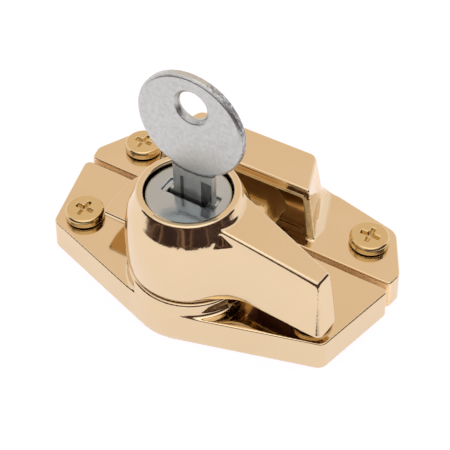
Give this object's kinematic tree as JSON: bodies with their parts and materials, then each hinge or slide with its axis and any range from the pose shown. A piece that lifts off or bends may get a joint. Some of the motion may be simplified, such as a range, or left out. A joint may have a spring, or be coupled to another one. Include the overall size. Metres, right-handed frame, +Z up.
{
  "type": "keyed window lock",
  "caption": "Locking fitch fastener for a sash window: a keyed cam lever on a base plate turns its spiral cam under the hooded keeper plate.",
  "frame": {"origin": "on the lever's pivot axis, in the plane of the fixing faces", "axes": "+Z up the pivot axis, away from the fixing faces; +X along the closed lever arm; +Y from the base plate to the keeper plate"},
  "size_m": [0.0652, 0.0409, 0.0487],
  "materials": {
    "plated_brass": "polished plate, pale warm gold",
    "screw_brass": "polished brass plate",
    "lock_zinc": "satin zinc",
    "key_metal": "satin nickel-silver, tumbled",
    "spindle_steel": "turned steel",
    "spring_steel": "oiled spring steel",
    "wafer_brass": "stamped brass"
  },
  "bodies": {
    "plates": {"base_plate": "plated_brass", "keeper_plate": "plated_brass", "base_screw_left": "screw_brass", "base_screw_right": "screw_brass", "keeper_screw_left": "screw_brass", "keeper_screw_right": "screw_brass"},
    "lever": {"lever_handle": "plated_brass", "pivot_spindle": "spindle_steel", "spindle_screw_front": "spindle_steel", "spindle_screw_rear": "spindle_steel", "pivot_washer": "spindle_steel", "spring_washer": "spring_steel", "retaining_clip": "spring_steel", "lock_housing": "lock_zinc", "housing_set_screw": "spring_steel"},
    "plug": {"lock_plug": "lock_zinc", "wafer_1": "wafer_brass", "wafer_2": "wafer_brass", "wafer_3": "wafer_brass", "wafer_4": "wafer_brass"},
    "key": {"key": "key_metal"},
    "bolt": {"locking_bolt": "spindle_steel"}
  },
  "joints": [
    {"name": "lever_turn", "type": "hinge", "parent": "plates", "child": "lever", "pos_m": [0, 0, 0], "axis": [0, 0, -1], "range_deg": [0, 135]},
    {"name": "plug_turn", "type": "hinge", "parent": "lever", "child": "plug", "pos_m": [0, 0, 0], "axis": [0, 0, -1], "range_deg": [0, 90]},
    {"name": "key_slide", "type": "slide", "parent": "plug", "child": "key", "axis": [0, 0, 1], "range_m": [0, 0.012]},
    {"name": "bolt_slide", "type": "slide", "parent": "lever", "child": "bolt", "axis": [1, 0, 0], "range_m": [0, 0.0023]}
  ],
  "couplings": [
    {"joint": "plug_turn", "follows": "bolt_slide", "rad_per_m": 682.9}
  ]
}
